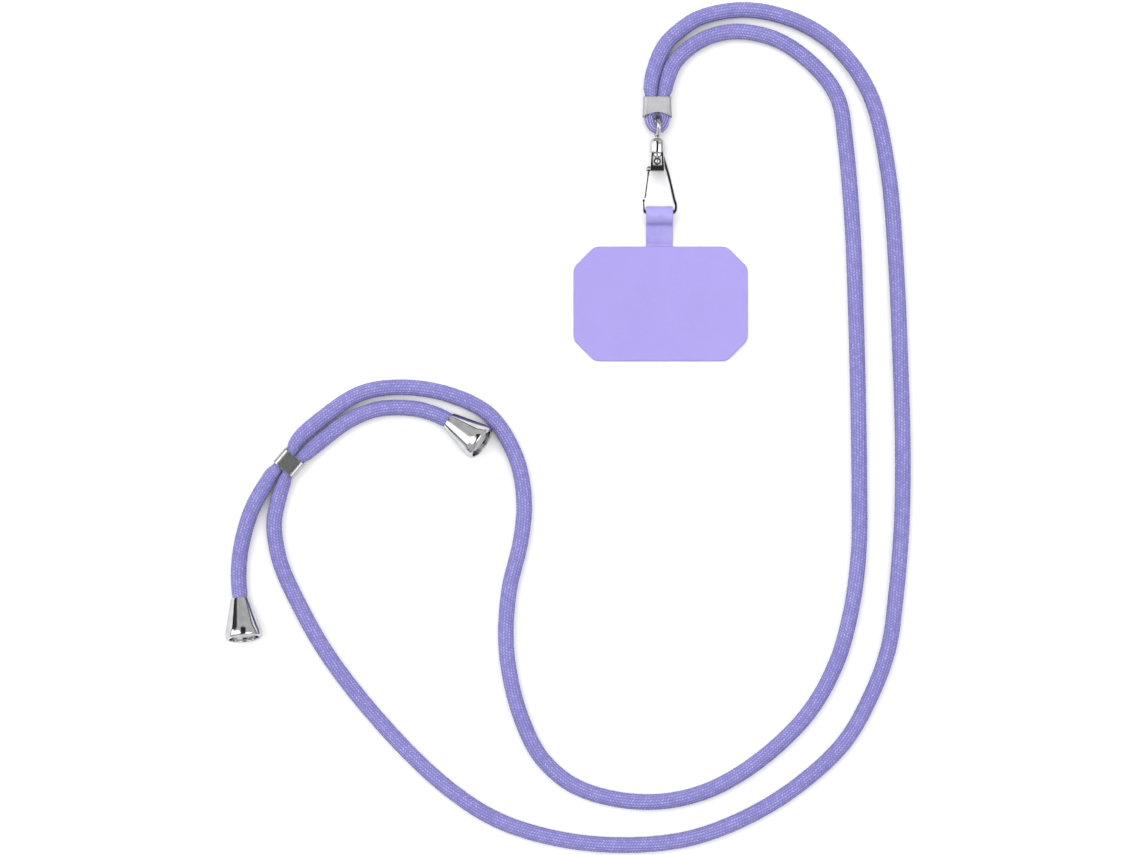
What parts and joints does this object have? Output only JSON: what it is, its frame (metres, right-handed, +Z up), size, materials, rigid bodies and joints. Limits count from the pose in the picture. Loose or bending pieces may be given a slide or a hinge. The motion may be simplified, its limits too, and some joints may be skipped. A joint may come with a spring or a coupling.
{
  "type": "phone crossbody strap",
  "caption": "Braided cord strap folded in two, with a swivel snap hook, webbing tab and thin phone pad, a slide ferrule and chromed cone ends, laid flat.",
  "frame": {"origin": "on the floor under the middle of the pad, tab, hook and crimp, which lie in one line", "axes": "+Z up from the floor the strap lies on; +Y from the pad towards the hook and the crimp; +X to the side that the cord's long loop goes round"},
  "size_m": [0.2123, 0.2638, 0.0114],
  "materials": {
    "cord": "braided polyester",
    "webbing": "smooth woven webbing",
    "pad": "fine grained matte",
    "chrome": "polished",
    "satin_metal": "satin"
  },
  "bodies": {
    "strap": {"cord_outer_strand": "cord", "cord_inner_strand": "cord", "cord_bight": "cord", "crimp_ferrule": "satin_metal", "slide_ferrule": "satin_metal", "cone_end_upper": "chrome", "cone_end_lower": "chrome", "hook_eye": "chrome"},
    "hook": {"hook_frame": "chrome", "gate_pin": "chrome", "webbing_tab": "webbing", "phone_pad": "pad"},
    "gate": {"hook_gate": "chrome"}
  },
  "joints": [
    {"name": "hook_swivel", "type": "hinge", "parent": "strap", "child": "hook", "pos_m": [-0.0011, 0.0239, 0.0037], "axis": [0, 1, 0], "continuous": true},
    {"name": "gate_hinge", "type": "hinge", "parent": "hook", "child": "gate", "pos_m": [-0.0037, 0.0185, 0.0037], "axis": [0, 0, 1], "range_deg": [0, 24], "stiffness_Nm_per_rad": 0.0005, "springref_deg": -20.05}
  ]
}
